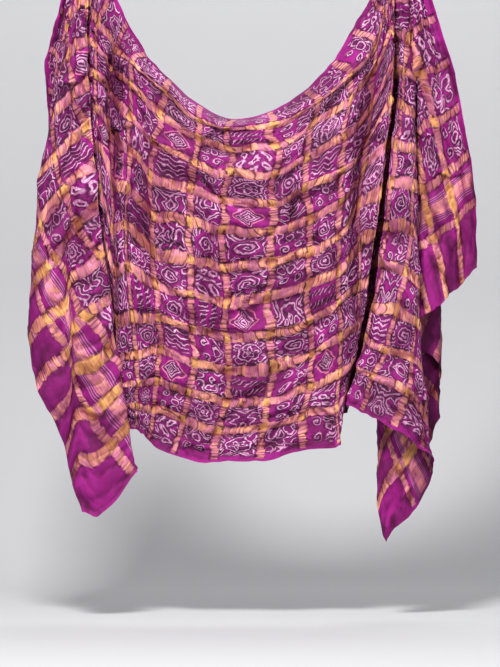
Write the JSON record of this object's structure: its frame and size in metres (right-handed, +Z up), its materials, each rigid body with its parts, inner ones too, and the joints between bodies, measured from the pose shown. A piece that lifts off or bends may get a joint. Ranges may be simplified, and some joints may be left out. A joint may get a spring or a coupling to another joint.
{
  "type": "hanging dupatta cloth",
  "caption": "Tie-dyed check cloth hung from two points: a deep swag with a U neckline between two folded ends that fall to their corners.",
  "frame": {"origin": "midway between the two points that the cloth hangs from, on its top edge", "axes": "+Z up, the front of the cloth faces -Y, +X to the right as seen from the front"},
  "size_m": [0.8988, 0.1283, 1.1893],
  "materials": {
    "cloth": "crinkled silk and cotton weave with gold bands"
  },
  "bodies": {
    "root": {"cloth": "cloth"}
  },
  "joints": []
}
